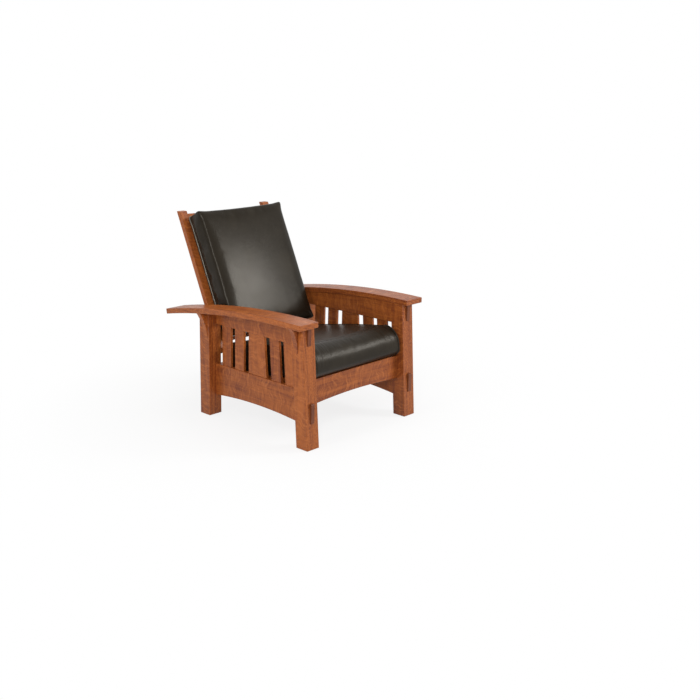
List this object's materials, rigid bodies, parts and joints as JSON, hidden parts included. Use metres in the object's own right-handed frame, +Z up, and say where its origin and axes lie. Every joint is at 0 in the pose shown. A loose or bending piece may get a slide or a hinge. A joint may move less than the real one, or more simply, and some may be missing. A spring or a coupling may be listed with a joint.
{
  "type": "reclining armchair",
  "caption": "Mission armchair in stained oak with bowed arms, slatted sides, leather cushions and a back that rests on two movable pegs.",
  "frame": {"origin": "on the floor, midway between the sides and between the front and rear ends of the whole chair", "axes": "+Z up, -Y the way the sitter faces, +X the sitter's left"},
  "size_m": [0.84, 1.054, 1.0305],
  "materials": {
    "oak": "satin",
    "leather": "satin",
    "steel": "satin",
    "bronze": "satin",
    "nylon": "matte"
  },
  "bodies": {
    "chair": {"arm_left": "oak", "arm_right": "oak", "cleat_screws": "steel", "deck_front_rail": "oak", "deck_rear_rail": "oak", "deck_side_rail_left": "oak", "deck_side_rail_right": "oak", "deck_slat_screws": "steel", "deck_slats": "oak", "foot_glides": "nylon", "front_cleat": "oak", "front_corbel_left": "oak", "front_corbel_right": "oak", "front_post_left": "oak", "front_post_right": "oak", "front_rail": "oak", "lower_tenon_plug_left": "oak", "lower_tenon_plug_right": "oak", "pivot_bolt_left": "steel", "pivot_bolt_right": "steel", "pivot_spacer_left": "steel", "pivot_spacer_right": "steel", "rear_cleat": "oak", "rear_corbel_left": "oak", "rear_corbel_right": "oak", "rear_post_left": "oak", "rear_post_right": "oak", "rear_rail": "oak", "side_bottom_rail_left": "oak", "side_bottom_rail_right": "oak", "side_slat_1_left": "oak", "side_slat_1_right": "oak", "side_slat_2_left": "oak", "side_slat_2_right": "oak", "side_slat_3_left": "oak", "side_slat_3_right": "oak", "side_slat_4_left": "oak", "side_slat_4_right": "oak", "side_slat_5_left": "oak", "side_slat_5_right": "oak", "side_top_rail_left": "oak", "side_top_rail_right": "oak", "upper_tenon_plug_left": "oak", "upper_tenon_plug_right": "oak"},
    "back": {"back_bottom_rail": "oak", "back_crest_rail": "oak", "back_slat_1": "oak", "back_slat_2": "oak", "back_slat_3": "oak", "back_slat_4": "oak", "back_stile_left": "oak", "back_stile_right": "oak", "back_cushion": "leather", "pivot_bushing_left": "bronze", "pivot_bushing_right": "bronze"},
    "peg_left": {"back_peg_left": "oak"},
    "peg_right": {"back_peg_right": "oak"},
    "seat": {"seat_cushion": "leather"}
  },
  "joints": [
    {"name": "back_recline", "type": "hinge", "parent": "chair", "child": "back", "pos_m": [0, 0.21141, 0.33], "axis": [1, 0, 0], "range_deg": [0, 10]},
    {"name": "peg_left_pull", "type": "slide", "parent": "chair", "child": "peg_left", "axis": [-1, 0, 0], "range_m": [0, 0.055]},
    {"name": "peg_right_pull", "type": "slide", "parent": "chair", "child": "peg_right", "axis": [1, 0, 0], "range_m": [0, 0.055]},
    {"name": "seat_lift_out", "type": "slide", "parent": "chair", "child": "seat", "axis": [0, -0.9882, 0.153], "range_m": [0, 0.12]}
  ]
}
